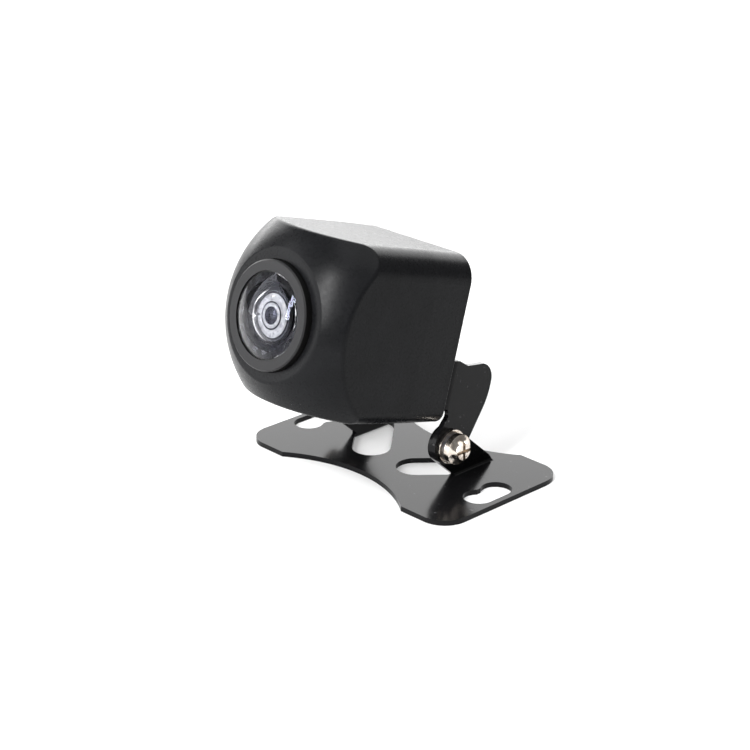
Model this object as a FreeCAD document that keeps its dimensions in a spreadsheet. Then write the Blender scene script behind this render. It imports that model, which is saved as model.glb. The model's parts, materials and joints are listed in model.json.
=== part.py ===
import FreeCAD, Part
import math
import os
import Sketcher

# Backup camera on a folded sheet-steel stand, in millimetres.
# Row frame: origin at the centre of the base plate's underside, +X along the plate,
# -Y the way the lens looks, +Z up.
# Head frame: origin at the centre of the housing's back face, +X across, -Y along the lens
# axis, +Z up through the housing. It is tilted about X, so that the nose points up.

Vector = FreeCAD.Vector
doc = FreeCAD.newDocument("backup_camera")

SIZES = [
    ("plate_length", 46.0),
    ("plate_width", 27.0),
    ("sheet_thickness", 0.85),
    ("plate_corner_radius", 4.3),
    ("waist_chord", 27.4),
    ("waist_depth", 4.5),
    ("bend_radius", 0.45),
    ("slot_offset", 19.55),
    ("slot_front_lobe", 2.55),
    ("slot_back_lobe", 1.45),
    ("slot_lobe_radius", 2.45),
    ("slot_waist_inset", 0.6),
    ("ear_spread", 23.28),
    ("ear_radius", 3.05),
    ("ear_lean", 48.0),
    ("ear_shoulder", 2.29),
    ("ear_heel", 1.28),
    ("ear_heel_arc", 3.66),
    ("ear_opening_gap", 0.1),
    ("fold_allowance", 1.21),
    ("fold_back_radius", 0.6),
    ("collar_radius", 2.0),
    ("collar_length", 0.6),
    ("hinge_offset", 1.85),
    ("hinge_height", 6.9),
    ("head_tilt", 16.0),
    ("hinge_setback", 3.5),
    ("hinge_drop", 16.73),
    ("arm_gap", 0.05),
    ("arm_end_radius", 3.55),
    ("arm_front_angle", 151.2),
    ("arm_rear_angle", 338.5),
    ("arm_reach", 10.0),
    ("arm_top", 3.45),
    ("arm_belly_inset", 0.8),
    ("arm_belly_drop", 0.3),
    ("arm_belly_radius", 12.0),
    ("arm_crown_drop", 3.0),
    ("arm_crown_inset", 2.7),
    ("arm_crown_radius", 2.9),
    ("arm_neck", 2.5),
    ("arm_neck_drop", 0.4),
    ("arm_root", 0.5),
    ("notch_radius", 1.0),
    ("notch_top", 0.25),
    ("notch_foot", 1.7),
    ("notch_inset", 0.2),
    ("web_top", 3.15),
    ("web_bottom", 10.9),
    ("bracket_screw_spacing", 10.4),
    ("screw_radius", 1.22),
    ("tapped_clearance", 0.04),
    ("turning_clearance", 0.07),
    ("screw_head_radius", 2.45),
    ("screw_head_height", 2.0),
    ("screw_rim_height", 0.9),
    ("screw_crown_radius", 1.35),
    ("screw_crown_arc", 1.7),
    ("screw_tip_length", 0.3),
    ("recess_width", 0.55),
    ("recess_depth", 1.1),
    ("recess_span", 2.82),
    ("flat_washer_radius", 2.75),
    ("flat_washer_thickness", 0.5),
    ("spring_washer_radius", 2.35),
    ("spring_washer_thickness", 0.6),
    ("washer_bore_gap", 0.12),
    ("washer_split", 0.3),
    ("housing_width", 26.5),
    ("housing_height", 26.5),
    ("housing_depth", 27.0),
    ("housing_corner_radius", 2.1),
    ("housing_top_radius", 4.4),
    ("housing_wall", 1.6),
    ("rear_section", 8.0),
    ("rear_draft", 0.15),
    ("dome_radius", 19.76),
    ("dome_centre_depth", 9.94),
    ("dome_edge_radius", 0.9),
    ("front_wall", 3.3),
    ("cavity_corner_radius", 2.0),
    ("boss_spacing", 18.6),
    ("boss_radius", 1.8),
    ("boss_reach", 3.0),
    ("boss_margin", 0.6),
    ("boss_pilot_depth", 5.0),
    ("cover_thickness", 1.0),
    ("cover_edge", 0.3),
    ("spigot_gap", 0.1),
    ("spigot_wall", 1.0),
    ("spigot_length", 1.6),
    ("spigot_corner_radius", 1.9),
    ("spigot_room_radius", 0.9),
    ("seal_set", 0.5),
    ("seal_width", 0.5),
    ("seal_thickness", 0.6),
    ("seal_corner_radius", 1.5),
    ("cover_boss_radius", 1.9),
    ("cover_boss_length", 2.0),
    ("small_screw_radius", 0.7),
    ("small_head_radius", 1.5),
    ("small_head_height", 0.9),
    ("small_head_arc", 0.65),
    ("small_crown_radius", 0.95),
    ("holder_grip", 1.4),
    ("standoff_grip", 1.6),
    ("cover_grip", 3.4),
    ("bracket_screw_setback", 0.2),
    ("small_recess_depth", 0.6),
    ("small_recess_span", 1.65),
    ("bracket_head_radius", 1.9),
    ("bracket_head_height", 1.1),
    ("grommet_height", 3.6),
    ("grommet_bore", 1.7),
    ("grommet_neck", 3.0),
    ("grommet_flange", 4.2),
    ("grommet_flange_thickness", 1.2),
    ("grommet_bevel", 0.5),
    ("grommet_barb", 3.5),
    ("grommet_barb_thickness", 0.8),
    ("grommet_tail_wall", 0.9),
    ("grommet_tail", 5.4),
    ("ring_radius", 8.25),
    ("ring_gap", 0.12),
    ("ring_stand", 1.25),
    ("ring_seat", 1.8),
    ("ring_pocket", 6.62),
    ("ring_bevel", 0.2),
    ("glass_radius", 6.4),
    ("glass_edge", 1.7),
    ("glass_inset", 0.05),
    ("glass_seal_set", 0.3),
    ("glass_dome", 10.5),
    ("glass_hollow", 5.4),
    ("glass_hollow_mouth", 4.6),
    ("barrel_radius", 6.0),
    ("barrel_length", 14.6),
    ("barrel_bore", 4.4),
    ("barrel_rear_bore", 3.4),
    ("barrel_lip_bore", 2.8),
    ("barrel_lip_length", 1.0),
    ("filter_thickness", 0.4),
    ("element_2_gap", 0.2),
    ("element_2_thickness", 2.0),
    ("element_2_front_radius", 8.0),
    ("element_2_back_radius", 3.6),
    ("element_2_hollow", 3.06),
    ("lens_spacer_length", 1.0),
    ("lens_spacer_front_bore", 2.71),
    ("lens_spacer_back_bore", 2.09),
    ("element_3_gap", 0.1),
    ("element_3_thickness", 1.8),
    ("element_3_radius", 5.0),
    ("stop_thickness", 0.4),
    ("stop_bore", 1.18),
    ("element_4_thickness", 2.6),
    ("element_4_radius", 6.0),
    ("lens_gap", 0.03),
    ("thread_gap", 0.06),
    ("oring_radius", 7.1),
    ("oring_wire", 0.45),
    ("oring_squeeze", 0.1),
    ("holder_radius", 7.6),
    ("holder_base", 18.4),
    ("holder_chamfer", 3.6),
    ("holder_base_thickness", 1.6),
    ("holder_front_gap", 0.1),
    ("sensor_width", 6.4),
    ("sensor_height", 5.6),
    ("sensor_thickness", 1.1),
    ("sensor_board_depth", 8.4),
    ("board_size", 20.4),
    ("board_chamfer", 5.4),
    ("board_thickness", 1.0),
    ("board_pitch", 5.0),
    ("standoff_spacing", 15.4),
    ("standoff_radius", 1.4),
    ("header_drop", 4.6),
    ("header_width", 9.0),
    ("header_height", 2.4),
    ("socket_width", 8.0),
    ("socket_height", 3.4),
    ("socket_drop", 0.9),
    ("socket_depth", 1.5),
    ("socket_wall", 0.6),
    ("socket_floor", 0.4),
]

sheet = doc.addObject("Spreadsheet::Sheet", "Sizes")
for row, (alias, value) in enumerate(SIZES, start=1):
    sheet.set(f"A{row}", str(value))
    sheet.setAlias(f"A{row}", alias)
doc.recompute()


class Size:
    """A length together with the sheet formula that gives it."""

    def __init__(self, value, formula):
        self.value = float(value)
        self.formula = formula

    def __add__(self, other):
        other = as_size(other)
        return Size(self.value + other.value, f"({self.formula} + {other.formula})")

    def __sub__(self, other):
        other = as_size(other)
        return Size(self.value - other.value, f"({self.formula} - {other.formula})")

    def __mul__(self, other):
        other = as_size(other)
        return Size(self.value * other.value, f"({self.formula} * {other.formula})")

    def __truediv__(self, other):
        other = as_size(other)
        return Size(self.value / other.value, f"({self.formula} / {other.formula})")

    def __radd__(self, other):
        return as_size(other) + self

    def __rsub__(self, other):
        return as_size(other) - self

    def __rmul__(self, other):
        return as_size(other) * self

    def __neg__(self):
        return Size(-self.value, f"(0 - {self.formula})")


def as_size(item):
    if isinstance(item, Size):
        return item
    return Size(item, f"({float(item)})")


def sine(angle):
    return Size(math.sin(math.radians(angle.value)), f"sin({angle.formula})")


def cosine(angle):
    return Size(math.cos(math.radians(angle.value)), f"cos({angle.formula})")


def root(size):
    return Size(math.sqrt(size.value), f"sqrt({size.formula})")


class Sheet:
    """Every cell of the sheet, as a Size of the same name."""

    def __init__(self):
        for alias, _ in SIZES:
            setattr(self, alias, Size(sheet.get(alias), f"Sizes.{alias}"))


s = Sheet()
ZERO = as_size(0)
PAST = as_size(1)  # how far a cutting shape runs past what it cuts
TINY = 1e-3  # how close two coordinates are when an edge is picked by its place
parts = []


# ---------------------------------------------------------------- building blocks

def bind(item, field, size):
    item.setExpression(field, as_size(size).formula)


def finish(item, label, placement=None):
    """Take an object as a finished sub-part, under its own label and placement."""
    item.Label = label
    if placement is not None:
        item.Placement = placement
    parts.append(item)
    return item


def box(name, low, high):
    item = doc.addObject("Part::Box", name)
    for field, axis, a, b in zip(("Length", "Width", "Height"), "xyz", low, high):
        bind(item, field, as_size(b) - a)
        bind(item, f"Placement.Base.{axis}", a)
    return item


TURNS = {
    "x": FreeCAD.Rotation(Vector(0, 1, 0), 90),
    "y": FreeCAD.Rotation(Vector(1, 0, 0), -90),
    "z": FreeCAD.Rotation(),
}


def cylinder(name, radius, start, length, axis):
    """A cylinder that runs from the point start along +axis."""
    item = doc.addObject("Part::Cylinder", name)
    item.Placement = FreeCAD.Placement(Vector(), TURNS[axis])
    bind(item, "Radius", radius)
    bind(item, "Height", length)
    for letter, place in zip("xyz", start):
        bind(item, f"Placement.Base.{letter}", place)
    return item


def drill(name, radius, start, length, axis):
    """A cutting cylinder for a hole from start along +axis, run past both of its ends."""
    start = [place - PAST if letter == axis else place for letter, place in zip("xyz", start)]
    return cylinder(name, radius, start, length + 2 * PAST, axis)


def fuse(name, *items):
    item = doc.addObject("Part::MultiFuse", name)
    item.Shapes = list(items)
    item.Refine = True
    return item


def common(name, *items):
    item = doc.addObject("Part::MultiCommon", name)
    item.Shapes = list(items)
    item.Refine = True
    return item


def cut(name, base, *tools):
    item = doc.addObject("Part::Cut", name)
    item.Base = base
    item.Tool = tools[0] if len(tools) == 1 else fuse(name + "_tools", *tools)
    return item


def group(name, items):
    item = doc.addObject("Part::Compound", name)
    item.Links = list(items)
    return item


def arc(radius, bulge=1):
    """An edge kind for outline(): bulge 1 lies right of the travel, -1 left of it."""
    return (as_size(radius), bulge)


def arc_edge(start, end, radius, bulge):
    middle = (start + end) / 2
    half = (end - start).Length / 2
    along = (end - start).normalize()
    left = Vector(-along.y, along.x, 0)
    rise = math.sqrt(max(radius * radius - half * half, 0.0))
    centre = middle + left * (rise * bulge)
    circle = Part.Circle(centre, Vector(0, 0, 1), radius)
    angles = [math.atan2(p.y - centre.y, p.x - centre.x) for p in (start, end)]
    if bulge < 0:
        angles.reverse()
    return Part.ArcOfCircle(circle, angles[0], angles[1])


def outline(sketch, corners):
    """Draw a closed outline. Each corner is (u, v) or (u, v, arc to the next corner)."""
    first = sketch.GeometryCount
    count = len(corners)
    points = [Vector(as_size(c[0]).value, as_size(c[1]).value, 0) for c in corners]
    ends = []
    for index, corner in enumerate(corners):
        start = points[index]
        end = points[(index + 1) % count]
        if len(corner) == 3:
            radius, bulge = corner[2]
            sketch.addGeometry(arc_edge(start, end, radius.value, bulge))
            ends.append((1, 2) if bulge > 0 else (2, 1))
        else:
            sketch.addGeometry(Part.LineSegment(start, end))
            ends.append((1, 2))
    for index, corner in enumerate(corners):
        edge = first + index
        following = (index + 1) % count
        joint = (edge, ends[index][1], first + following, ends[following][0])
        sketch.addConstraint(Sketcher.Constraint("Coincident", *joint))
        for kind, place in (("DistanceX", corner[0]), ("DistanceY", corner[1])):
            place = as_size(place)
            pin = Sketcher.Constraint(kind, -1, 1, edge, ends[index][0], place.value)
            number = sketch.addConstraint(pin)
            sketch.setExpression(f"Constraints[{number}]", place.formula)
        if len(corner) == 3:
            radius = corner[2][0]
            number = sketch.addConstraint(Sketcher.Constraint("Radius", edge, radius.value))
            sketch.setExpression(f"Constraints[{number}]", radius.formula)


def reverse_outline(corners):
    """The same outline walked the other way round."""
    count = len(corners)
    walked = []
    for step in range(count):
        here = corners[-step % count]
        edge = corners[(-step - 1) % count]
        if len(edge) == 3:
            radius, bulge = edge[2]
            walked.append((here[0], here[1], (radius, -bulge)))
        else:
            walked.append((here[0], here[1]))
    return walked


def mirror_bulges(corners):
    """An outline whose points were mirrored already, with its arcs mirrored too."""
    return [c if len(c) < 3 else (c[0], c[1], (c[2][0], -c[2][1])) for c in corners]


def new_body(name):
    return doc.addObject("PartDesign::Body", name)


def new_sketch(body, role, name, offset=ZERO):
    """A sketch on one of the body's own origin planes, moved along its normal."""
    sketch = body.newObject("Sketcher::SketchObject", name)
    plane = [item for item in body.Origin.OriginFeatures if item.Role == role][0]
    sketch.AttachmentSupport = [(plane, "")]
    sketch.MapMode = "FlatFace"
    bind(sketch, "AttachmentOffset.Base.z", offset)
    return sketch


def pad(body, sketch, name, length):
    item = body.newObject("PartDesign::Pad", name)
    item.Profile = sketch
    bind(item, "Length", length)
    return item


def turned(name, corners, axis="V_Axis"):
    """A body turned about an axis, from an outline on the XY plane."""
    body = new_body(name)
    sketch = new_sketch(body, "XY_Plane", name + "_profile")
    outline(sketch, corners)
    item = body.newObject("PartDesign::Revolution", name + "_turned")
    item.Profile = sketch
    item.ReferenceAxis = (sketch, [axis])
    item.Angle = 360
    return body


def slab(name, corners, back, thickness):
    """A plate across the lens axis: an outline in X and Z, from Y = back towards the lens."""
    body = new_body(name)
    sketch = new_sketch(body, "XZ_Plane", name + "_outline", -as_size(back))
    outline(sketch, corners)
    pad(body, sketch, name + "_pad", thickness)
    return body


def rounded_rectangle(half_width, half_height, radius, top_radius=None):
    """A rectangle about the origin. The corners on the +v side may have a radius of their own."""
    a, b, r = as_size(half_width), as_size(half_height), as_size(radius)
    top = r if top_radius is None else as_size(top_radius)
    return [
        (r - a, -b), (a - r, -b, arc(r)),
        (a, r - b), (a, b - top, arc(top)),
        (a - top, b), (top - a, b, arc(top)),
        (-a, b - top), (-a, r - b, arc(r)),
    ]


def chamfered_square(half, chamfer):
    a, c = as_size(half), as_size(half) - chamfer
    return [(-c, -a), (c, -a), (a, -c), (a, c), (c, a), (-c, a), (-a, c), (-a, -c)]


def rounded(name, base, chosen, radius):
    """Round the edges of base that the test chosen picks."""
    doc.recompute()
    item = doc.addObject("Part::Fillet", name)
    item.Base = base
    edges = [n for n, edge in enumerate(base.Shape.Edges, start=1) if chosen(edge)]
    item.Edges = [(n, radius.value, radius.value) for n in edges]
    return item


def head_frame():
    """The head frame's place in the row frame."""
    lean = math.radians(s.head_tilt.value)
    back, up = -s.hinge_setback.value, s.hinge_drop.value
    y = -s.hinge_offset.value + back * math.cos(lean) + up * math.sin(lean)
    z = s.hinge_height.value - back * math.sin(lean) + up * math.cos(lean)
    turn = FreeCAD.Rotation(Vector(1, 0, 0), -s.head_tilt.value)
    return FreeCAD.Placement(Vector(0, y, z), turn)


HEAD = head_frame()


# ---------------------------------------------------------------- stand

EAR_OUT = s.ear_spread / 2
EAR_IN = EAR_OUT - s.sheet_thickness
ARM_IN = EAR_OUT + s.arm_gap
ARM_OUT = ARM_IN + s.sheet_thickness


def wing_slot(side):
    """A fixing slot of two lobes with a bridge, its waist on the inner edge."""
    x = side * s.slot_offset
    name = "slot_right" if side > 0 else "slot_left"
    lobes = [
        drill(f"{name}_{n}", s.slot_lobe_radius, (x, y, ZERO), s.sheet_thickness, "z")
        for n, y in enumerate((-s.slot_front_lobe, s.slot_back_lobe))
    ]
    outer = s.slot_lobe_radius
    inner = s.slot_lobe_radius - s.slot_waist_inset
    reach = (inner, outer) if side > 0 else (outer, inner)
    bridge = box(
        name + "_bridge",
        (x - reach[0], -s.slot_front_lobe, -PAST),
        (x + reach[1], s.slot_back_lobe, s.sheet_thickness + PAST),
    )
    return fuse(name, *lobes, bridge)


def ear_outline(height_of_hinge, growth):
    """A leaning ear with a round end, seen along X: (Y, Z) corners from the fold upwards."""
    lean_y, lean_z = sine(s.ear_lean), cosine(s.ear_lean)
    radius = s.ear_radius + growth
    y, z = -s.hinge_offset, height_of_hinge
    front = (y - radius * lean_z, z - radius * lean_y)
    rear = (y + radius * lean_z, z + radius * lean_y)
    tip = (y - radius * lean_y, z + radius * lean_z, arc(radius))
    run = z * lean_y / lean_z
    half = radius / lean_z
    shoulder = s.ear_shoulder
    return [
        (y + run - half, ZERO),
        (y + run + half - s.ear_heel, ZERO, arc(s.ear_heel_arc)),
        (y + run + half - shoulder * lean_y / lean_z, shoulder),
        (rear[0], rear[1], arc(radius)),
        tip,
        front,
    ]


def base_plate():
    half_x, half_y, thick = s.plate_length / 2, s.plate_width / 2, s.sheet_thickness
    blank = new_body("plate_blank")
    sketch = new_sketch(blank, "XY_Plane", "plate_blank_outline")
    outline(sketch, rounded_rectangle(half_x, half_y, s.plate_corner_radius))
    pad(blank, sketch, "plate_blank_pad", thick)
    half_chord = s.waist_chord / 2
    waist_radius = (half_chord * half_chord + s.waist_depth * s.waist_depth) / (2 * s.waist_depth)
    waists = [
        drill(name, waist_radius, (ZERO, y, ZERO), thick, "z")
        for name, y in (
            ("waist_front", s.waist_depth - half_y - waist_radius),
            ("waist_back", half_y - s.waist_depth + waist_radius),
        )
    ]
    openings = []
    ears = []
    collars = []
    bores = []
    for side, word in ((1, "right"), (-1, "left")):
        flat = new_body("ear_opening_" + word)
        sketch = new_sketch(flat, "XY_Plane", "ear_opening_outline_" + word, -PAST)
        unfolded = ear_outline(s.hinge_height - s.fold_allowance, s.ear_opening_gap)
        turned_in = [(side * (EAR_IN - v), u, *edge) for u, v, *edge in unfolded]
        if side < 0:
            turned_in = mirror_bulges(turned_in)
        outline(sketch, turned_in)
        pad(flat, sketch, "ear_opening_pad_" + word, thick + 2 * PAST)
        openings.append(flat)
        ear = new_body("ear_" + word)
        inner = EAR_IN if side > 0 else -EAR_OUT
        sketch = new_sketch(ear, "YZ_Plane", "ear_outline_" + word, inner)
        outline(sketch, ear_outline(s.hinge_height, ZERO))
        pad(ear, sketch, "ear_pad_" + word, thick)
        ears.append(ear)
        hinge = (-s.hinge_offset, s.hinge_height)
        collar_start = EAR_IN - s.collar_length if side > 0 else -EAR_IN
        collars.append(
            cylinder("collar_" + word, s.collar_radius, (collar_start, *hinge), s.collar_length, "x")
        )
        bore_start = collar_start if side > 0 else -EAR_OUT
        bores.append(
            drill(
                "collar_bore_" + word, s.screw_radius + s.tapped_clearance,
                (bore_start, *hinge), s.collar_length + thick, "x",
            )
        )
    plate = cut("plate_flat", blank, *waists, *openings, wing_slot(1), wing_slot(-1))
    folded = fuse("plate_folded", plate, *ears, *collars)
    top, inside, outside = thick.value, EAR_IN.value, EAR_OUT.value

    def crease(edge):
        """The inner corner of a fold, between the plate's top and the ear's outer face."""
        middle = edge.BoundBox.Center
        straight = edge.BoundBox.XLength < TINY and edge.BoundBox.ZLength < TINY
        return straight and abs(middle.z - top) < TINY and abs(abs(middle.x) - outside) < TINY

    def fold_back(edge):
        """The outer corner of a fold, under the ear's inner face."""
        middle = edge.BoundBox.Center
        straight = edge.BoundBox.XLength < TINY and edge.BoundBox.ZLength < TINY
        return straight and abs(middle.z) < TINY and abs(abs(middle.x) - inside) < TINY

    creased = rounded("plate_creased", folded, crease, s.bend_radius)
    bent = rounded("plate_bent", creased, fold_back, s.fold_back_radius)
    finish(cut("base_plate", bent, *bores), "base_plate")


base_plate()


# ---------------------------------------------------------------- tilt bracket

WEB_MIDDLE = -(s.web_top + s.web_bottom) / 2


def u_bracket():
    """A web on the housing's back, bent round into two comma-shaped arms."""
    thick = s.sheet_thickness
    bend = s.bend_radius + thick
    hinge_y, hinge_z = s.hinge_setback, -s.hinge_drop
    end = s.arm_end_radius
    reach = s.arm_reach
    front, rear = s.arm_front_angle, s.arm_rear_angle
    crown = -s.arm_top - s.arm_crown_drop
    arm_corners = [
        (bend, -s.web_bottom - s.notch_top, arc(s.notch_radius, -1)),
        (bend + s.notch_inset, -s.web_bottom - s.notch_foot),
        (hinge_y + end * cosine(front), hinge_z + end * sine(front), arc(end)),
        (hinge_y + end * cosine(rear), hinge_z + end * sine(rear)),
        (reach - s.arm_belly_inset, -s.web_bottom - s.arm_belly_drop, arc(s.arm_belly_radius)),
        (reach, crown, arc(s.arm_crown_radius)),
        (reach - s.arm_crown_inset, -s.arm_top),
        (bend + s.arm_neck, -s.arm_top - s.arm_neck_drop),
        (bend + s.arm_root, -s.web_top),
        (bend, -s.web_top),
    ]
    pieces = []
    holes = []
    for side, word in ((1, "right"), (-1, "left")):
        arm = new_body("arm_" + word)
        inner = ARM_IN if side > 0 else -ARM_OUT
        sketch = new_sketch(arm, "YZ_Plane", "arm_outline_" + word, inner)
        outline(sketch, arm_corners)
        pad(arm, sketch, "arm_pad_" + word, thick)
        pieces.append(arm)
        holes.append(
            drill(
                "arm_hole_" + word, s.screw_radius + s.turning_clearance,
                (inner, hinge_y, hinge_z), thick, "x",
            )
        )
    web = new_body("web")
    sketch = new_sketch(web, "XY_Plane", "web_outline", -s.web_bottom)
    wide = ARM_OUT - bend
    inside = s.bend_radius
    outline(sketch, [
        (-wide, ZERO), (wide, ZERO, arc(bend)),
        (ARM_OUT, bend), (ARM_IN, bend, arc(inside, -1)),
        (wide, thick), (-wide, thick, arc(inside, -1)),
        (-ARM_IN, bend), (-ARM_OUT, bend, arc(bend)),
    ])
    pad(web, sketch, "web_pad", s.web_bottom - s.web_top)
    for side, word in ((1, "right"), (-1, "left")):
        holes.append(
            drill(
                "web_hole_" + word, s.small_screw_radius + s.washer_bore_gap,
                (side * s.bracket_screw_spacing / 2, ZERO, WEB_MIDDLE), thick, "y",
            )
        )
    finish(cut("u_bracket", fuse("bracket_blank", web, *pieces), *holes), "u_bracket", HEAD)


u_bracket()


# ---------------------------------------------------------------- screws

def cross_recess(name, along, span, low, high):
    """Two crossed slots about the screw's axis, from low to high along it."""
    wide = span / 2
    thin = s.recess_width / 2
    slots = []
    for number, (a, b) in enumerate(((wide, thin), (thin, wide))):
        corners = [(low, -a, -b), (high, a, b)]
        if along == "y":
            corners = [(u, place, v) for place, u, v in corners]
        slots.append(box(f"{name}_slot_{number}", *corners))
    return slots


def clamp_screw(side, word):
    """A pan-head cross-recess screw along X, with its spring washer and flat washer."""
    hinge = Vector(0, -s.hinge_offset.value, s.hinge_height.value)
    place = FreeCAD.Placement(hinge, FreeCAD.Rotation())
    flat_x = ARM_OUT + s.arm_gap
    spring_x = flat_x + s.flat_washer_thickness
    head_x = spring_x + s.spring_washer_thickness
    tip = s.screw_tip_length
    tip_x = EAR_IN - s.collar_length - tip
    face_x = head_x + s.screw_head_height
    shank, head = s.screw_radius, s.screw_head_radius
    corners = [
        (tip_x, ZERO), (tip_x, shank - tip), (tip_x + tip, shank), (head_x, shank),
        (head_x, head), (head_x + s.screw_rim_height, head, arc(s.screw_crown_arc)),
        (face_x, s.screw_crown_radius), (face_x, ZERO),
    ]
    corners = [(side * c[0], c[1]) + tuple(c[2:]) for c in corners]
    corners = reverse_outline(corners) if side > 0 else mirror_bulges(corners)
    blank = turned("screw_blank_" + word, corners, "H_Axis")
    low, high = face_x - s.recess_depth, face_x + PAST
    if side < 0:
        low, high = -high, -low
    recess = cross_recess("screw_recess_" + word, "x", s.recess_span, low, high)
    screw = cut("hinge_screw_" + word, blank, *recess)
    finish(screw, "hinge_screw_" + word, place)

    def washer(name, start, radius, thick):
        start = start if side > 0 else -(start + thick)
        outer = cylinder(name + "_blank", radius, (start, ZERO, ZERO), thick, "x")
        bore = drill(name + "_bore", shank + s.washer_bore_gap, (start, ZERO, ZERO), thick, "x")
        return start, outer, bore

    _, outer, bore = washer("flat_washer_" + word, flat_x, s.flat_washer_radius,
                            s.flat_washer_thickness)
    finish(cut("flat_washer_" + word, outer, bore), "flat_washer_" + word, place)
    start, outer, bore = washer("spring_washer_" + word, spring_x, s.spring_washer_radius,
                                s.spring_washer_thickness)
    half_split = s.washer_split / 2
    split = box("washer_split_" + word, (start - PAST, ZERO, -half_split),
                (start + s.spring_washer_thickness + PAST, s.spring_washer_radius + PAST, half_split))
    finish(cut("spring_washer_" + word, outer, bore, split), "spring_washer_" + word, place)


clamp_screw(1, "right")
clamp_screw(-1, "left")


def screw_group(label, spots, seat, shank_length, head_radius, head_height=None):
    """Small screws along the lens axis, heads towards +Y. Without a head height they are sunk."""
    sunk = head_height is None
    screws = []
    for number, (x, z) in enumerate(spots):
        name = f"{label}_{number}"
        shank = s.small_screw_radius
        if sunk:
            corners = [
                (ZERO, -shank_length), (shank, -shank_length), (shank, shank - head_radius),
                (head_radius, ZERO), (ZERO, ZERO),
            ]
        else:
            corners = [
                (ZERO, -shank_length), (shank, -shank_length), (shank, ZERO),
                (head_radius, ZERO), (head_radius, head_height / 2, arc(s.small_head_arc)),
                (s.small_crown_radius, head_height), (ZERO, head_height),
            ]
        blank = turned(name + "_blank", corners)
        top = ZERO if sunk else head_height
        slots = cross_recess(name, "y", s.small_recess_span, top - s.small_recess_depth, top + PAST)
        screw = cut(name, blank, *slots)
        x, z = as_size(x), as_size(z)
        screw.Placement = FreeCAD.Placement(Vector(x.value, seat.value, z.value),
                                            FreeCAD.Rotation())
        screws.append(screw)
    finish(group(label, screws), label, HEAD)


# ---------------------------------------------------------------- housing

PILOT = s.small_screw_radius + s.tapped_clearance
HALF_W = s.housing_width / 2
HALF_H = s.housing_height / 2
BOSS = s.boss_spacing / 2
CORNERS = [(a * BOSS, b * BOSS) for a in (1, -1) for b in (1, -1)]
BRACKET_SPOTS = [(a * s.bracket_screw_spacing / 2, WEB_MIDDLE) for a in (1, -1)]
CAVITY_W = HALF_W - s.housing_wall
CAVITY_H = HALF_H - s.housing_wall
WEB_W = HALF_W - s.housing_wall / 2
WEB_H = HALF_H - s.housing_wall / 2
FRONT = -s.housing_depth
INNER_FRONT = FRONT + s.front_wall
RIM = -s.cover_thickness
RING_BACK = FRONT + s.ring_seat - s.oring_squeeze
ORING_Y = RING_BACK + s.oring_wire


def domed(name, block, radius, half):
    """What a block keeps inside a sphere on the lens axis, whole behind its centre."""
    centre = -s.dome_centre_depth
    ball = doc.addObject("Part::Sphere", name + "_ball")
    bind(ball, "Radius", radius)
    bind(ball, "Placement.Base.y", centre)
    wide = half * 2
    tail = box(name + "_tail", (-wide, centre, -wide), (wide, PAST, wide))
    return common(name, block, fuse(name + "_limit", ball, tail))


def housing_section(inset):
    """The housing's outline across the lens axis, its top corners rounder, moved inwards."""
    return rounded_rectangle(HALF_W - inset, HALF_H - inset, s.housing_corner_radius - inset,
                             s.housing_top_radius - inset)


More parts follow.
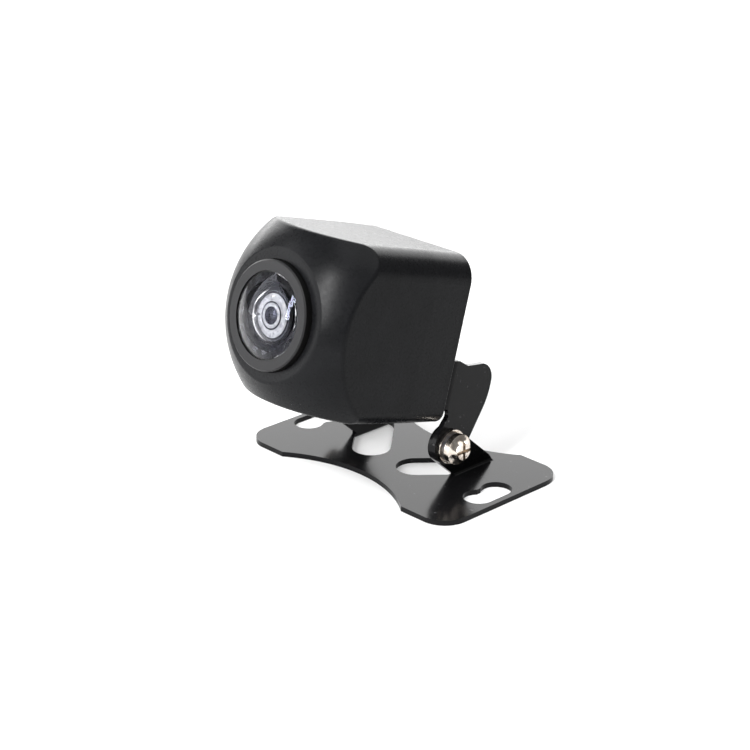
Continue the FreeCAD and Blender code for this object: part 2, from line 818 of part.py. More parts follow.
def front_housing():
    outer = new_body("housing_outer")
    middle = new_sketch(outer, "XZ_Plane", "housing_middle", s.rear_section)
    outline(middle, housing_section(ZERO))
    pad(outer, middle, "housing_front_pad", s.housing_depth - s.rear_section)
    near = new_sketch(outer, "XZ_Plane", "housing_loft_near", s.rear_section)
    outline(near, housing_section(ZERO))
    far = new_sketch(outer, "XZ_Plane", "housing_loft_far", s.cover_thickness)
    outline(far, housing_section(s.rear_draft))
    loft = outer.newObject("PartDesign::AdditiveLoft", "housing_rear_loft")
    loft.Profile = near
    loft.Sections = [far]
    loft.Ruled = True
    shell = domed("housing_dome", outer, s.dome_radius, HALF_W)
    front = FRONT.value
    side_w, side_h = HALF_W.value, HALF_H.value
    behind = -s.dome_centre_depth.value
    shortest, least_bow = 0.2, 0.5

    def dome_edge(edge):
        """An edge where the dome meets the flat nose, a flat side or a rounded corner."""
        limits = edge.BoundBox
        if edge.Length < shortest or limits.YMax > behind - TINY:
            return False
        flat_nose = limits.YLength < TINY and abs(limits.YMin - front) < TINY
        on_side = limits.XLength < TINY and abs(abs(limits.Center.x) - side_w) < TINY
        on_top = limits.ZLength < TINY and abs(abs(limits.Center.z) - side_h) < TINY
        bowed = limits.YLength > least_bow
        return flat_nose or ((on_side or on_top) and bowed)

    soft = rounded("housing_soft", shell, dome_edge, s.dome_edge_radius)
    room = slab("housing_room", rounded_rectangle(CAVITY_W, CAVITY_H, s.cavity_corner_radius),
                RIM + PAST, RIM + PAST - INNER_FRONT)
    cavity = domed("housing_hollow", room, s.dome_radius - s.housing_wall, CAVITY_W)
    boss_end = RIM - s.spigot_length - s.spigot_gap
    boss_start = -s.dome_centre_depth - s.boss_reach
    bosses = [
        cylinder(f"boss_{n}", s.boss_radius, (x, boss_start, z), boss_end - boss_start, "y")
        for n, (x, z) in enumerate(CORNERS)
    ]
    webs = [
        box(f"boss_web_{n}", spot_low(x, z, boss_start), spot_high(x, z, boss_end))
        for n, (x, z) in enumerate(CORNERS)
    ]
    inner = common("boss_trim", fuse("boss_all", *bosses, *webs), soft_envelope())
    pilots = [
        cylinder(f"pilot_{n}", PILOT, (x, boss_end - s.boss_pilot_depth, z),
                 s.boss_pilot_depth + PAST, "y")
        for n, (x, z) in enumerate(CORNERS)
    ]
    seat = cylinder("ring_seat", s.ring_radius + s.ring_gap, (ZERO, FRONT - PAST, ZERO),
                    s.ring_seat + PAST, "y")
    bore = drill("barrel_hole", s.barrel_radius + s.thread_gap, (ZERO, FRONT, ZERO),
                 s.front_wall, "y")
    groove_depth = ORING_Y + s.oring_wire - FRONT
    groove = cut(
        "oring_groove",
        cylinder("groove_outer", s.oring_radius + s.oring_wire, (ZERO, FRONT, ZERO),
                 groove_depth, "y"),
        drill("groove_inner", s.oring_radius - s.oring_wire, (ZERO, FRONT, ZERO),
              groove_depth, "y"),
    )
    body = cut("housing_shelled", soft, cavity)
    body = fuse("housing_bossed", body, inner)
    finish(cut("front_housing", body, seat, bore, groove, *pilots), "front_housing", HEAD)


def spot_low(x, z, y):
    """The low corner of a web that ties a corner boss to the walls beside it."""
    return (x if x.value > 0 else -WEB_W, y, z if z.value > 0 else -WEB_H)


def spot_high(x, z, y):
    """The high corner of the same web."""
    return (WEB_W if x.value > 0 else x, y, WEB_H if z.value > 0 else z)


def soft_envelope():
    """The outer dome a little smaller, which keeps the bosses inside the shell."""
    margin = s.boss_margin
    block = slab("boss_envelope_block", housing_section(margin), RIM, RIM - FRONT - margin)
    return domed("boss_envelope", block, s.dome_radius - margin, HALF_W)


front_housing()


# ---------------------------------------------------------------- optics

def lens_ring():
    """The threaded ring that holds the front glass on the barrel."""
    face = FRONT - s.ring_stand
    thread = s.barrel_radius + s.thread_gap
    corners = [
        (s.ring_pocket, face), (s.ring_pocket, GLASS_BACK), (thread, GLASS_BACK),
        (thread, RING_BACK), (s.ring_radius, RING_BACK), (s.ring_radius, face + s.ring_bevel),
        (s.ring_radius - s.ring_bevel, face),
    ]
    finish(turned("lens_ring", reverse_outline(corners)), "lens_ring", HEAD)


def sagitta(radius, half_chord):
    return radius - root(radius * radius - half_chord * half_chord)


GLASS_RIM = FRONT - s.ring_stand + s.glass_inset
GLASS_BACK = GLASS_RIM + s.glass_edge


def front_glass():
    """A meniscus: domed in front, hollow behind."""
    rise = sagitta(s.glass_dome, s.glass_radius)
    hollow = sagitta(s.glass_hollow, s.glass_hollow_mouth)
    corners = [
        (ZERO, GLASS_RIM - rise, arc(s.glass_dome)), (s.glass_radius, GLASS_RIM),
        (s.glass_radius, GLASS_BACK), (s.glass_hollow_mouth, GLASS_BACK, arc(s.glass_hollow, -1)),
        (ZERO, GLASS_BACK - hollow),
    ]
    finish(turned("front_glass", corners), "front_glass", HEAD)
    lip = GLASS_RIM + s.glass_seal_set
    seal = [
        (s.glass_radius, lip), (s.ring_pocket, lip),
        (s.ring_pocket, GLASS_BACK), (s.glass_radius, GLASS_BACK),
    ]
    finish(turned("glass_seal", seal), "glass_seal", HEAD)


def stretch(start, length):
    """The front and the back of a piece of the stack."""
    return (start, start + length)


# The stack inside the barrel, from the front glass backwards.
ELEMENT_2 = stretch(GLASS_BACK + s.element_2_gap, s.element_2_thickness)
SPACER = stretch(ELEMENT_2[1], s.lens_spacer_length)
SHOULDER = SPACER[1]
ELEMENT_3 = stretch(SHOULDER + s.element_3_gap, s.element_3_thickness)
STOP = stretch(ELEMENT_3[1], s.stop_thickness)
ELEMENT_4 = stretch(STOP[1], s.element_4_thickness)
BARREL_END = GLASS_BACK + s.barrel_length
FILTER = stretch(BARREL_END - s.barrel_lip_length - s.filter_thickness, s.filter_thickness)


def lens_stack():
    barrel = [
        (s.barrel_bore, GLASS_BACK), (s.barrel_bore, SHOULDER), (s.barrel_rear_bore, SHOULDER),
        (s.barrel_rear_bore, FILTER[1]), (s.barrel_lip_bore, FILTER[1]),
        (s.barrel_lip_bore, BARREL_END), (s.barrel_radius, BARREL_END),
        (s.barrel_radius, GLASS_BACK),
    ]
    finish(turned("lens_barrel", reverse_outline(barrel)), "lens_barrel", HEAD)
    wide, narrow = s.barrel_bore - s.lens_gap, s.barrel_rear_bore - s.lens_gap
    front, back = ELEMENT_2
    crown, hollow = s.element_2_front_radius, s.element_2_back_radius
    mouth = s.element_2_hollow
    second = [
        (ZERO, front, arc(crown)), (wide, front + sagitta(crown, wide)), (wide, back),
        (mouth, back, arc(hollow, -1)), (ZERO, back - sagitta(hollow, mouth)),
    ]
    finish(turned("lens_element_2", second), "lens_element_2", HEAD)
    front, back = SPACER
    spacer = [
        (s.lens_spacer_front_bore, front), (wide, front), (wide, back),
        (s.lens_spacer_back_bore, back),
    ]
    finish(turned("lens_spacer", spacer), "lens_spacer", HEAD)
    front, back = ELEMENT_3
    third = [
        (ZERO, front, arc(s.element_3_radius)),
        (narrow, front + sagitta(s.element_3_radius, narrow)),
        (narrow, back), (ZERO, back),
    ]
    finish(turned("lens_element_3", third), "lens_element_3", HEAD)
    front, back = STOP
    stop = [(s.stop_bore, front), (narrow, front), (narrow, back), (s.stop_bore, back)]
    finish(turned("aperture_stop", stop), "aperture_stop", HEAD)
    front, back = ELEMENT_4
    bulge = sagitta(s.element_4_radius, narrow)
    fourth = [
        (ZERO, front), (narrow, front),
        (narrow, back - bulge, arc(s.element_4_radius)), (ZERO, back),
    ]
    finish(turned("lens_element_4", fourth), "lens_element_4", HEAD)
    front, back = FILTER
    plate = [(ZERO, front), (narrow, front), (narrow, back), (ZERO, back)]
    finish(turned("infrared_filter", plate), "infrared_filter", HEAD)


def lens_oring():
    ring = doc.addObject("Part::Torus", "lens_oring")
    bind(ring, "Radius1", s.oring_radius)
    bind(ring, "Radius2", s.oring_wire)
    place = HEAD.multiply(FreeCAD.Placement(Vector(0, ORING_Y.value, 0), TURNS["y"]))
    finish(ring, "lens_oring", place)


lens_ring()
front_glass()
lens_stack()
lens_oring()


# ---------------------------------------------------------------- electronics

BOARD_HALF = s.board_size / 2
SENSOR_BACK = -s.sensor_board_depth
SENSOR_FRONT = SENSOR_BACK - s.board_thickness
MAIN_FRONT = SENSOR_BACK + s.board_pitch - s.board_thickness
MAIN_BACK = MAIN_FRONT + s.board_thickness
STANDOFF = s.standoff_spacing / 2
HOLDER_SPOTS = [(a * STANDOFF, ZERO) for a in (1, -1)]
SPACER_SPOTS = [(ZERO, a * STANDOFF) for a in (1, -1)]


def lens_holder():
    """A threaded socket for the barrel, on a square base that sits on the sensor board."""
    base_start = SENSOR_FRONT - s.holder_base_thickness
    flange = slab("holder_flange", chamfered_square(s.holder_base / 2, s.holder_chamfer),
                  SENSOR_FRONT, s.holder_base_thickness)
    tube_start = INNER_FRONT + s.holder_front_gap
    tube = cylinder("holder_tube", s.holder_radius, (ZERO, tube_start, ZERO),
                    SENSOR_FRONT - tube_start, "y")
    thread = drill("holder_thread", s.barrel_radius + s.thread_gap, (ZERO, tube_start, ZERO),
                   SENSOR_FRONT - tube_start, "y")
    pilots = [
        drill(f"holder_pilot_{n}", PILOT, (x, base_start, z), s.holder_base_thickness, "y")
        for n, (x, z) in enumerate(HOLDER_SPOTS)
    ]
    blank = fuse("holder_blank", flange, tube)
    finish(cut("lens_holder", blank, thread, *pilots), "lens_holder", HEAD)


def board(name, back, holes):
    blank = slab(name + "_blank", chamfered_square(BOARD_HALF, s.board_chamfer), back,
                 s.board_thickness)
    bores = [
        drill(f"{name}_bore_{n}", s.small_screw_radius + s.washer_bore_gap,
              (x, back - s.board_thickness, z), s.board_thickness, "y")
        for n, (x, z) in enumerate(holes)
    ]
    finish(cut(name, blank, *bores), name, HEAD)


def block(name, x, z, front, width, height, depth):
    """A rectangular component, centred on X and Z, from its front face backwards."""
    low = (x - width / 2, front, z - height / 2)
    high = (x + width / 2, front + depth, z + height / 2)
    return box(name, low, high)


# The chips of the main board: name, centre X and Z, width, height and thickness.
FRONT_CHIPS = [
    ("processor", -1.0, 2.2, 6.0, 6.0, 0.9),
    ("memory", 6.2, 1.5, 3.0, 4.0, 0.8),
]
BACK_CHIPS = [
    ("inductor", -6.6, 2.5, 3.0, 3.0, 1.2),
    ("regulator", 6.2, 2.5, 2.8, 1.6, 1.0),
]


def electronics():
    board("sensor_board", SENSOR_BACK, HOLDER_SPOTS + SPACER_SPOTS)
    board("main_board", MAIN_BACK, SPACER_SPOTS)
    sensor = block("sensor_package", ZERO, ZERO, SENSOR_FRONT - s.sensor_thickness,
                   s.sensor_width, s.sensor_height, s.sensor_thickness)
    finish(group("image_sensor", [sensor]), "image_sensor", HEAD)
    gap = MAIN_FRONT - SENSOR_BACK
    spacers = []
    for number, (x, z) in enumerate(SPACER_SPOTS):
        name = f"standoff_{number}"
        post = cylinder(name + "_post", s.standoff_radius, (x, SENSOR_BACK, z), gap, "y")
        bore = drill(name + "_bore", PILOT, (x, SENSOR_BACK, z), gap, "y")
        spacers.append(cut(name, post, bore))
    finish(group("board_spacers", spacers), "board_spacers", HEAD)
    header = block("header", ZERO, -s.header_drop, SENSOR_BACK, s.header_width, s.header_height, gap)
    finish(group("board_connector", [header]), "board_connector", HEAD)
    chips = []
    for name, x, z, width, height, depth in FRONT_CHIPS:
        chips.append(block(name, as_size(x), as_size(z), MAIN_FRONT - depth, width, height, depth))
    for name, x, z, width, height, depth in BACK_CHIPS:
        chips.append(block(name, as_size(x), as_size(z), MAIN_BACK, width, height, depth))
    finish(group("board_chips", chips), "board_chips", HEAD)
    outer = block("socket_outer", ZERO, -s.socket_drop, MAIN_BACK,
                  s.socket_width, s.socket_height, s.socket_depth)
    wall = 2 * s.socket_wall
    inner = block("socket_inner", ZERO, -s.socket_drop, MAIN_BACK + s.socket_floor,
                  s.socket_width - wall, s.socket_height - wall, s.socket_depth)
    finish(cut("cable_socket", outer, inner), "cable_socket", HEAD)


lens_holder()
electronics()
screw_group("holder_screws", HOLDER_SPOTS, SENSOR_BACK, s.board_thickness + s.holder_grip,
            s.small_head_radius, s.small_head_height)
screw_group("board_screws", SPACER_SPOTS, MAIN_BACK, s.board_thickness + s.standoff_grip,
            s.small_head_radius, s.small_head_height)


# ---------------------------------------------------------------- back of the housing

SEAL_W = CAVITY_W - s.seal_width
SEAL_H = CAVITY_H - s.seal_width


def rear_cover():
    plate = slab("cover_plate", housing_section(s.rear_draft), ZERO, s.cover_thickness)

    def back_edge(edge):
        return edge.BoundBox.YLength < TINY and abs(edge.BoundBox.YMin) < TINY

    soft = rounded("cover_soft", plate, back_edge, s.cover_edge)
    spigot_w, spigot_h = CAVITY_W - s.spigot_gap, CAVITY_H - s.spigot_gap
    spigot_edge = rounded_rectangle(spigot_w, spigot_h, s.spigot_corner_radius)
    spigot = slab("cover_spigot", spigot_edge, RIM, s.spigot_length)
    room_edge = rounded_rectangle(spigot_w - s.spigot_wall, spigot_h - s.spigot_wall,
                                  s.spigot_room_radius)
    room = slab("cover_room", room_edge, RIM, s.spigot_length + PAST)
    ring = cut("cover_ring", spigot, room)
    seal_back = RIM - s.seal_set
    groove_box = slab("cover_groove_outer", housing_section(ZERO), seal_back, s.seal_thickness)
    kept = slab("cover_groove_inner", rounded_rectangle(SEAL_W, SEAL_H, s.seal_corner_radius),
                seal_back + PAST, s.seal_thickness + 2 * PAST)
    groove = cut("cover_groove", groove_box, kept)
    grooved = cut("cover_ring_grooved", ring, groove)
    bosses = [
        cylinder(f"cover_boss_{n}", s.cover_boss_radius, (x, RIM - s.cover_boss_length, z),
                 s.cover_boss_length, "y")
        for n, (x, z) in enumerate(BRACKET_SPOTS)
    ]
    holes = []
    radius, sink = s.small_screw_radius, s.small_head_radius
    for n, (x, z) in enumerate(CORNERS):
        holes.append(drill(f"cover_hole_{n}", radius + s.washer_bore_gap, (x, RIM, z),
                           s.cover_thickness, "y"))
        cone = doc.addObject("Part::Cone", f"countersink_{n}")
        cone.Placement = FreeCAD.Placement(Vector(), TURNS["y"])
        bind(cone, "Radius1", radius)
        bind(cone, "Radius2", sink)
        bind(cone, "Height", sink - radius)
        for letter, place in zip("xyz", (x, radius - sink, z)):
            bind(cone, f"Placement.Base.{letter}", place)
        holes.append(cone)
    for n, (x, z) in enumerate(BRACKET_SPOTS):
        holes.append(drill(f"bracket_pilot_{n}", PILOT, (x, RIM - s.cover_boss_length, z),
                           s.cover_boss_length + s.cover_thickness, "y"))
    holes.append(drill("grommet_hole", s.grommet_neck, (ZERO, RIM, s.grommet_height),
                       s.cover_thickness, "y"))
    blank = fuse("cover_blank", soft, grooved, *bosses)
    finish(cut("rear_cover", blank, *holes), "rear_cover", HEAD)


def housing_seal():
    """A soft ring in the spigot's groove, against the housing's walls."""
    back = RIM - s.seal_set
    outer = slab("seal_outer", rounded_rectangle(CAVITY_W, CAVITY_H, s.cavity_corner_radius), back,
                 s.seal_thickness)
    inner = slab("seal_inner", rounded_rectangle(SEAL_W, SEAL_H, s.seal_corner_radius),
                 back + PAST, s.seal_thickness + 2 * PAST)
    finish(cut("housing_seal", outer, inner), "housing_seal", HEAD)


def cable_grommet():
    """A rubber grommet in the cover, with a through bore for the lead."""
    bore, neck, flange, barb = s.grommet_bore, s.grommet_neck, s.grommet_flange, s.grommet_barb
    inside = RIM - s.grommet_barb_thickness
    outside, bevel = s.grommet_flange_thickness, s.grommet_bevel
    corners = [
        (bore, inside), (barb, inside), (barb, RIM), (neck, RIM),
        (neck, ZERO), (flange, ZERO), (flange, outside - bevel), (flange - bevel, outside),
        (neck, outside), (bore + s.grommet_tail_wall, s.grommet_tail), (bore, s.grommet_tail),
    ]
    place = HEAD.multiply(FreeCAD.Placement(Vector(0, 0, s.grommet_height.value),
                                            FreeCAD.Rotation()))
    finish(turned("cable_grommet", corners), "cable_grommet", place)


rear_cover()
housing_seal()
cable_grommet()
screw_group("cover_screws", CORNERS, ZERO, s.cover_thickness + s.spigot_length + s.cover_grip,
            s.small_head_radius)
BRACKET_GRIP = s.cover_thickness + s.cover_boss_length - s.bracket_screw_setback
screw_group("bracket_screws", BRACKET_SPOTS, s.sheet_thickness, s.sheet_thickness + BRACKET_GRIP,
            s.bracket_head_radius, s.bracket_head_height)


# ---------------------------------------------------------------- checks and files

def report_faults():
    """The names of objects that failed to recompute, and of sub-parts with bad shapes."""
    faults = []
    for item in doc.Objects:
        if "Invalid" in item.State or "Error" in item.State:
            faults.append(f"{item.Name}: {item.State}")
    for item in parts:
        if item.Shape.isNull() or not item.Shape.isValid() or not item.Shape.Solids:
            faults.append(f"{item.Label}: bad shape")
    return faults


doc.recompute()
faults = report_faults()
if faults:
    raise SystemExit("faults: " + "; ".join(faults))
os.makedirs("parts", exist_ok=True)
for item in parts:
    item.Shape.exportStep(f"parts/{item.Label}.step")
    print(f"{item.Label}: {len(item.Shape.Solids)} solid(s), {item.Shape.Volume:.2f} mm3")
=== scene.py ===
import json
import math

import bmesh
import bpy
from mathutils import Matrix, Vector


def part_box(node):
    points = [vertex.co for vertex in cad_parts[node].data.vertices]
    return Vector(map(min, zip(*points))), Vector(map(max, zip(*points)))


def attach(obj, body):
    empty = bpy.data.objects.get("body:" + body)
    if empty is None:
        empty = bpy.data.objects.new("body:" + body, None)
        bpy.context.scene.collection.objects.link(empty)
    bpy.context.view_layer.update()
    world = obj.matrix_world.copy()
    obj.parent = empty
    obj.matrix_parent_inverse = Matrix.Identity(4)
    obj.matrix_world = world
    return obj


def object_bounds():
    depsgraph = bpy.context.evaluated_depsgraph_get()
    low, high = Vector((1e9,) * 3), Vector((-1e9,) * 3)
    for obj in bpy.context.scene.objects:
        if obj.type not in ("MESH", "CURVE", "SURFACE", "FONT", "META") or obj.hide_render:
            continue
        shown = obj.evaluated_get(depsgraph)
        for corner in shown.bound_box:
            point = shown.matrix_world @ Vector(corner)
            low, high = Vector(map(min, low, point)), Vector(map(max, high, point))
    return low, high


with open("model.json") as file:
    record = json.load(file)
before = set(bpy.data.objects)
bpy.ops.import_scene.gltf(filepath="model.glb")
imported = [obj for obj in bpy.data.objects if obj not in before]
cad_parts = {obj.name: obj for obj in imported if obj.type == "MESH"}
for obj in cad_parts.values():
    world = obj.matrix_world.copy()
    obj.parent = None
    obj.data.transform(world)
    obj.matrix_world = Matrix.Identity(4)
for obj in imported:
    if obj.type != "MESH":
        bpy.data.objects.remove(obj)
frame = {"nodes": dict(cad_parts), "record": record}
cad_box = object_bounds()

# A backup camera on a folded stand, in metres. The lens looks along -Y, tilted up a little.

MM = 0.001
MICRON = 0.000001
LENS_RISE = math.radians(16.0)
AXIS_TURN = Matrix.Rotation(-LENS_RISE, 4, "X")
LENS_AXIS = AXIS_TURN @ Vector((0, -1, 0))


# ---------------------------------------------------------------- camera, floor and light

VIEW_AZIMUTH = math.radians(46.42)
VIEW_ELEVATION = math.radians(22.25)
FOCAL_MM = 91.05
CAMERA_DISTANCE = 0.29237
CLIP_NEAR = 0.01
CLIP_FAR = 20
AIM_OFFSET = Vector((0.00268, -0.00008, -0.00401))  # from the middle of the CAD box

HEAD_MIDDLE = (0, -0.010, 0.022)

# name, place, the point that it faces, width, height and watts
LIGHTS = [
    ("back_panel", (-0.62, 0.66, 0.34), (0, 0, 0.05), 1.5, 0.66, 12.0),
    ("overhead_softbox", (0.10, 0.12, 0.62), (0.02, 0.02, 0), 0.60, 0.60, 2.1),
    ("front_left_softbox", (-0.32, -0.46, 0.24), HEAD_MIDDLE, 0.70, 0.70, 5.0),
    ("front_strip", (0.10, -0.41, 0.31), HEAD_MIDDLE, 0.06, 0.40, 3.6),
    ("low_back_strip", (-0.60, 0.62, 0.08), (0, 0, 0.04), 1.3, 0.12, 0.65),
]
WORLD_STRENGTH = 0.22

FLOOR_HALF = 3.0
FLOOR_GLOW = 0.18


def add_camera():
    forward = Vector((
        -math.sin(VIEW_AZIMUTH) * math.cos(VIEW_ELEVATION),
        math.cos(VIEW_AZIMUTH) * math.cos(VIEW_ELEVATION),
        -math.sin(VIEW_ELEVATION),
    ))
    low, high = cad_box
    aim = (Vector(low) + Vector(high)) / 2 + AIM_OFFSET
    data = bpy.data.cameras.new("photo_camera")
    data.lens = FOCAL_MM
    data.clip_start = CLIP_NEAR
    data.clip_end = CLIP_FAR
    item = bpy.data.objects.new("photo_camera", data)
    item.location = aim - forward * CAMERA_DISTANCE
    item.rotation_euler = (math.pi / 2 - VIEW_ELEVATION, 0, VIEW_AZIMUTH)
    bpy.context.scene.collection.objects.link(item)
    bpy.context.scene.camera = item


def area_light(name, place, aim, width, height, watts):
    data = bpy.data.lights.new(name, "AREA")
    data.energy = watts
    data.shape = "RECTANGLE"
    data.size = width
    data.size_y = height
    item = bpy.data.objects.new(name, data)
    item.location = place
    item.rotation_euler = (Vector(aim) - Vector(place)).to_track_quat("-Z", "Y").to_euler()
    bpy.context.scene.collection.objects.link(item)


def add_lights():
    for light in LIGHTS:
        area_light(*light)
    world = bpy.data.worlds.new("studio")
    world.use_nodes = True
    back = world.node_tree.nodes["Background"]
    back.inputs["Color"].default_value = (1, 1, 1, 1)
    back.inputs["Strength"].default_value = WORLD_STRENGTH
    bpy.context.scene.world = world
    bpy.context.scene.view_settings.view_transform = "Standard"


def add_floor():
    mesh = bpy.data.meshes.new("studio_floor")
    corners = [
        (-FLOOR_HALF, -FLOOR_HALF, 0), (FLOOR_HALF, -FLOOR_HALF, 0),
        (FLOOR_HALF, FLOOR_HALF, 0), (-FLOOR_HALF, FLOOR_HALF, 0),
    ]
    mesh.from_pydata(corners, [], [(0, 1, 2, 3)])
    floor = bpy.data.objects.new("studio_floor", mesh)
    bpy.context.scene.collection.objects.link(floor)
    floor.data.materials.append(pale_floor())


# ---------------------------------------------------------------- materials

# A colour Mix node's sockets, which share their labels with those of its other types.
MIX_FACTOR = 0
MIX_FIRST = 6
MIX_SECOND = 7
MIX_RESULT = 2


class Shader:
    """A principled material that is put together node by node."""

    def __init__(self, name, colour, roughness, metallic=0.0, **sockets):
        self.material = bpy.data.materials.new(name)
        self.material.use_nodes = True
        self.tree = self.material.node_tree
        self.bsdf = self.tree.nodes["Principled BSDF"]
        self.set("Base Color", (*colour, 1))
        self.set("Roughness", roughness)
        self.set("Metallic", metallic)
        for label, value in sockets.items():
            self.set(label.replace("_", " "), value)
        self.place = self.node("ShaderNodeTexCoord").outputs["Object"]
        self.height = None

    def set(self, label, value):
        self.bsdf.inputs[label].default_value = value

    def node(self, kind, **values):
        item = self.tree.nodes.new(kind)
        for label, value in values.items():
            setattr(item, label, value)
        return item

    def link(self, output, item, label):
        self.tree.links.new(output, item.inputs[label])

    def noise(self, scale, detail=3.0, rough=0.5, stretch=None):
        """Noise in object space, with scale in features per metre."""
        item = self.node("ShaderNodeTexNoise")
        item.inputs["Scale"].default_value = scale
        item.inputs["Detail"].default_value = detail
        item.inputs["Roughness"].default_value = rough
        source = self.place
        if stretch is not None:
            mapping = self.node("ShaderNodeMapping")
            mapping.inputs["Scale"].default_value = stretch
            self.link(source, mapping, "Vector")
            source = mapping.outputs["Vector"]
        self.link(source, item, "Vector")
        return item.outputs["Fac"]

    def cells(self, scale):
        """Cells in object space, with scale in cells per metre."""
        item = self.node("ShaderNodeTexVoronoi")
        item.inputs["Scale"].default_value = scale
        self.link(self.place, item, "Vector")
        return item.outputs["Distance"]

    def spread(self, source, low, high, start=0.35, end=0.65):
        """The source, from start to end, mapped on to low to high."""
        item = self.node("ShaderNodeMapRange")
        item.inputs["From Min"].default_value = start
        item.inputs["From Max"].default_value = end
        item.inputs["To Min"].default_value = low
        item.inputs["To Max"].default_value = high
        self.link(source, item, "Value")
        return item.outputs["Result"]

    def along(self, axis):
        """How far the surface faces along a fixed axis of the object, from -1 to 1."""
        item = self.node("ShaderNodeVectorMath", operation="DOT_PRODUCT")
        self.link(self.node("ShaderNodeTexCoord").outputs["Normal"], item, 0)
        item.inputs[1].default_value = axis
        return item.outputs["Value"]

    def tint(self, factor, first, second):
        """Base colour that runs from first to second with the factor."""
        item = self.node("ShaderNodeMix", data_type="RGBA")
        item.inputs[MIX_FIRST].default_value = (*first, 1)
        item.inputs[MIX_SECOND].default_value = (*second, 1)
        self.link(factor, item, MIX_FACTOR)
        self.link(item.outputs[MIX_RESULT], self.bsdf, "Base Color")

    def rough(self, source):
        self.link(source, self.bsdf, "Roughness")

    def bump(self, source, depth, strength=1.0):
        """Adds a layer of relief of that depth, in metres."""
        item = self.node("ShaderNodeBump")
        item.inputs["Distance"].default_value = depth
        item.inputs["Strength"].default_value = strength
        self.link(source, item, "Height")
        if self.height is not None:
            self.link(self.height, item, "Normal")
        self.height = item.outputs["Normal"]
        self.link(self.height, self.bsdf, "Normal")


def pale_floor():
    look = Shader("floor_white", (0.72, 0.72, 0.72), 0.75, Specular_IOR_Level=0.1)
    look.set("Emission Color", (1, 1, 1, 1))
    look.set("Emission Strength", FLOOR_GLOW)
    look.rough(look.spread(look.noise(40), 0.70, 0.80))
    return look.material


def black_enamel():
    """Semi-gloss stoved paint: faint orange peel and a few specks of dust."""
    look = Shader("black_enamel", (0.005, 0.005, 0.0055), 0.17, Specular_IOR_Level=0.13)
    specks = look.spread(look.noise(1300, 2.0), 0.0, 1.0, 0.70, 0.76)
    look.tint(specks, (0.0045, 0.0045, 0.005), (0.05, 0.05, 0.052))
    look.rough(look.spread(look.noise(420, 4.0), 0.16, 0.18))
    look.bump(look.noise(520, 2.0), 3 * MICRON, 0.15)
    look.bump(look.noise(3800, 2.0), 2 * MICRON, 0.3)
    return look.material


def moulded_housing():
    """Matt black polycarbonate with a fine spark-eroded texture."""
    look = Shader("moulded_housing", (0.006, 0.0062, 0.0068), 0.28, Specular_IOR_Level=0.09)
    look.tint(look.spread(look.noise(220, 5.0), 0.0, 1.0),
              (0.0052, 0.0054, 0.0060), (0.0068, 0.0070, 0.0078))
    look.rough(look.spread(look.noise(1500, 4.0), 0.26, 0.31))
    look.bump(look.noise(3000, 3.0, 0.7), 20 * MICRON, 0.3)
    look.bump(look.cells(5200), 10 * MICRON, 0.25)
    return look.material


def satin_ring():
    """Dark grey face towards the lens's front; its side walls are painted near black as shade, by
    the way they face.
    """
    look = Shader("satin_ring", (0.016, 0.016, 0.017), 0.40, Specular_IOR_Level=0.16)
    painted_shade_by_facing = look.along(LENS_AXIS)
    # painted shade: surfaces turned away from the lens axis get a darker base colour
    look.tint(look.spread(painted_shade_by_facing, 0.0, 1.0, 0.3, 0.8), (0.003, 0.003, 0.003), (0.016, 0.016, 0.017))
    look.rough(look.spread(look.noise(2600, 3.0), 0.36, 0.46))
    look.bump(look.noise(5200, 2.0), 8 * MICRON, 0.5)
    return look.material


def black_anodised():
    look = Shader("black_anodised", (0.008, 0.008, 0.009), 0.45, Specular_IOR_Level=0.3)
    look.rough(look.spread(look.noise(3000, 3.0), 0.38, 0.55))
    look.bump(look.noise(6000, 2.0), 6 * MICRON, 0.5)
    return look.material


def nickel():
    """Bright plated steel with fine turned and tumbled scratches."""
    look = Shader("nickel_plate", (0.78, 0.71, 0.63), 0.16, 1.0)
    look.tint(look.spread(look.noise(800, 4.0), 0.0, 1.0), (0.82, 0.76, 0.69), (0.60, 0.52, 0.44))
    look.rough(look.spread(look.noise(1800, 4.0), 0.10, 0.22))
    look.bump(look.noise(1500, 3.0, 0.6), 100 * MICRON, 0.5)
    return look.material


def blued_spring():
    look = Shader("blued_spring_steel", (0.10, 0.10, 0.11), 0.34, 0.9)
    look.tint(look.spread(look.noise(700, 4.0), 0.0, 1.0), (0.07, 0.07, 0.08), (0.16, 0.15, 0.14))
    look.rough(look.spread(look.noise(1600, 4.0), 0.26, 0.46))
    look.bump(look.noise(2600, 3.0), 20 * MICRON, 0.5)
    return look.material


def coated_glass():
    """Clear crown glass with a faint violet film against reflections."""
    look = Shader("coated_glass", (0.95, 0.96, 1.0), 0.0, IOR=1.50, Transmission_Weight=1.0,
                  Specular_IOR_Level=0.12)
    look.set("Specular Tint", (0.24, 0.25, 0.33, 1))
    look.rough(look.spread(look.noise(900, 3.0), 0.0, 0.006))
    return look.material


def filter_glass():
    look = Shader("filter_glass", (0.45, 0.80, 0.82), 0.03, IOR=1.54, Transmission_Weight=1.0)
    look.rough(look.spread(look.noise(900, 3.0), 0.01, 0.05))
    return look.material


def rubber():
    look = Shader("black_silicone", (0.020, 0.020, 0.020), 0.68)
    look.rough(look.spread(look.noise(1200, 4.0), 0.60, 0.80))
    look.bump(look.noise(2400, 4.0), 30 * MICRON, 0.7)
    return look.material


def filled_nylon():
    look = Shader("filled_nylon", (0.020, 0.020, 0.021), 0.50)
    look.rough(look.spread(look.noise(1800, 4.0), 0.42, 0.60))
    look.bump(look.noise(3200, 3.0), 20 * MICRON, 0.6)
    return look.material


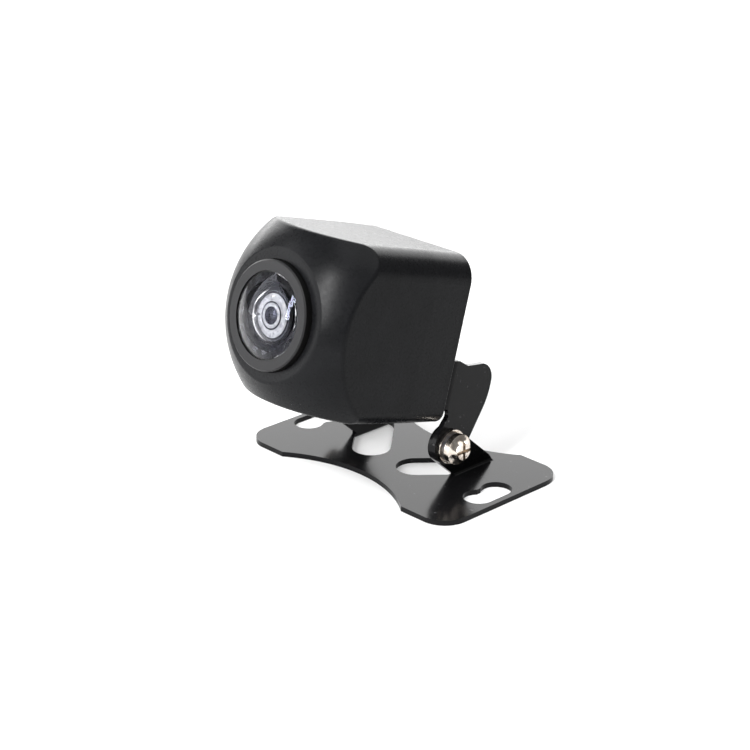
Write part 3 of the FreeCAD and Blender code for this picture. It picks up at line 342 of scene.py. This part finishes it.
def solder_mask():
    """Green mask over a fibre board, with the weave and the copper just showing."""
    look = Shader("solder_mask", (0.010, 0.12, 0.045), 0.28)
    look.tint(look.spread(look.cells(420), 0.0, 1.0, 0.2, 0.7),
              (0.008, 0.10, 0.035), (0.020, 0.19, 0.08))
    look.rough(look.spread(look.noise(1400), 0.20, 0.36))
    look.bump(look.cells(420), 30 * MICRON, 0.5)
    return look.material


def epoxy_chip():
    look = Shader("epoxy_chip", (0.022, 0.022, 0.023), 0.46)
    look.rough(look.spread(look.noise(2200, 3.0), 0.38, 0.56))
    look.bump(look.noise(4000, 3.0), 10 * MICRON, 0.6)
    return look.material


def turned_brass():
    look = Shader("turned_brass", (0.70, 0.50, 0.20), 0.28, 1.0)
    look.rough(look.spread(look.noise(1800, 4.0), 0.20, 0.38))
    look.bump(look.noise(2500, 2.0, 0.5, (1, 12, 1)), 10 * MICRON, 0.5)
    return look.material


SLOT_LOOKS = {
    "painted_steel": black_enamel,
    "nickel_steel": nickel,
    "spring_steel": blued_spring,
    "housing_plastic": moulded_housing,
    "ring_plastic": satin_ring,
    "barrel_metal": black_anodised,
    "glass": coated_glass,
    "filter_glass": filter_glass,
    "seal_rubber": rubber,
    "holder_plastic": filled_nylon,
    "board": solder_mask,
    "chip": epoxy_chip,
    "brass": turned_brass,
}


def dress_nodes():
    """Every CAD node gets the look of its material slot."""
    made = {slot: build() for slot, build in SLOT_LOOKS.items()}
    for part in frame["record"]["subparts"]:
        item = frame["nodes"][part["node"]]
        item.data.materials.clear()
        item.data.materials.append(made[part["material_slot"]])


# ---------------------------------------------------------------- pieces inside the lens

RING_STEPS = 96


def middle(node):
    low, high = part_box(node)
    return (Vector(low) + Vector(high)) / 2


def turned_ring(name, profile, material):
    """A closed ring about the lens axis. Each profile point is (radius, depth) in metres,
    with the depth counted back from the middle of the glass's rim seal."""
    mesh = bpy.data.meshes.new(name)
    work = bmesh.new()
    rows = []
    for step in range(RING_STEPS):
        angle = 2 * math.pi * step / RING_STEPS
        rows.append([
            work.verts.new((radius * math.cos(angle), depth, radius * math.sin(angle)))
            for radius, depth in profile
        ])
    count = len(profile)
    for step, row in enumerate(rows):
        following = rows[(step + 1) % RING_STEPS]
        for index in range(count):
            after = (index + 1) % count
            work.faces.new((row[index], row[after], following[after], following[index]))
    bmesh.ops.recalc_face_normals(work, faces=work.faces)
    place = Matrix.Translation(middle("glass_seal")) @ AXIS_TURN
    bmesh.ops.transform(work, matrix=place, verts=work.verts)
    work.to_mesh(mesh)
    work.free()
    mesh.polygons.foreach_set("use_smooth", [True] * len(mesh.polygons))
    item = bpy.data.objects.new(name, mesh)
    bpy.context.scene.collection.objects.link(item)
    mesh.materials.append(material)
    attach(item, "camera_head")


def flat_band(inner, outer, front, back, bevel):
    """The section of a flat ring: radii, depths and small bevels, all in millimetres."""
    section = [
        (inner + bevel, front), (outer - bevel, front), (outer, front + bevel),
        (outer, back - bevel), (outer - bevel, back), (inner + bevel, back),
        (inner, back - bevel), (inner, front + bevel),
    ]
    return [(radius * MM, depth * MM) for radius, depth in section]


def lamp_black():
    look = Shader("lamp_black", (0.003, 0.003, 0.003), 0.6, Specular_IOR_Level=0.1)
    look.rough(look.spread(look.noise(2600, 3.0), 0.5, 0.7))
    look.bump(look.noise(5200, 2.0), 3 * MICRON, 0.4)
    return look.material


def bright_band():
    """Bands painted bright as the reflections of light off the lens's inner elements, a little
    uneven.
    """
    look = Shader("painted_reflection_band", (0.38, 0.38, 0.38), 0.35, 0.2)
    look.tint(look.spread(look.noise(1400, 4.0), 0.0, 1.0), (0.28, 0.28, 0.29), (0.48, 0.48, 0.48))
    look.rough(look.spread(look.noise(2200, 4.0), 0.24, 0.42))
    look.bump(look.noise(3000, 2.0), 10 * MICRON, 0.4)
    return look.material


def dim_band():
    look = Shader("smoked_band", (0.06, 0.064, 0.072), 0.30, 0.3)
    look.rough(look.spread(look.noise(2200, 4.0), 0.24, 0.40))
    look.bump(look.noise(3000, 2.0), 10 * MICRON, 0.4)
    return look.material


# Millimetres: radii, and depths behind the middle of the glass's rim seal.
BAFFLE_INNER = 1.36
BAFFLE_OUTER = 4.36
BAFFLE_FRONT = 0.45
BAFFLE_BACK = 0.65
BAFFLE_BEVEL = 0.03
BAND_THICK = 0.04
BAND_BEVEL = 0.01

# name, inner radius and outer radius in millimetres
# painted reflection: the bright bands stand in for light reflected off the lens's inner elements
BRIGHT_BANDS = [("lens_band_wide", 2.22, 3.38), ("lens_band_narrow", 1.42, 1.98)]
DIM_BANDS = [("lens_band_rim", 3.66, 3.78)]


def lens_details():
    """A black baffle behind the front glass, with bright bands painted on it as the reflections of
    light off the lens's inner elements, and a dim band outside them.
    """
    section = flat_band(BAFFLE_INNER, BAFFLE_OUTER, BAFFLE_FRONT, BAFFLE_BACK, BAFFLE_BEVEL)
    turned_ring("lens_baffle", section, lamp_black())
    band_front = BAFFLE_FRONT - BAND_THICK
    for bands, material in ((BRIGHT_BANDS, bright_band()), (DIM_BANDS, dim_band())):
        for name, inner, outer in bands:
            section = flat_band(inner, outer, band_front, BAFFLE_FRONT, BAND_BEVEL)
            turned_ring(name, section, material)


# ---------------------------------------------------------------- the scene

add_camera()
add_lights()
add_floor()
dress_nodes()
lens_details()
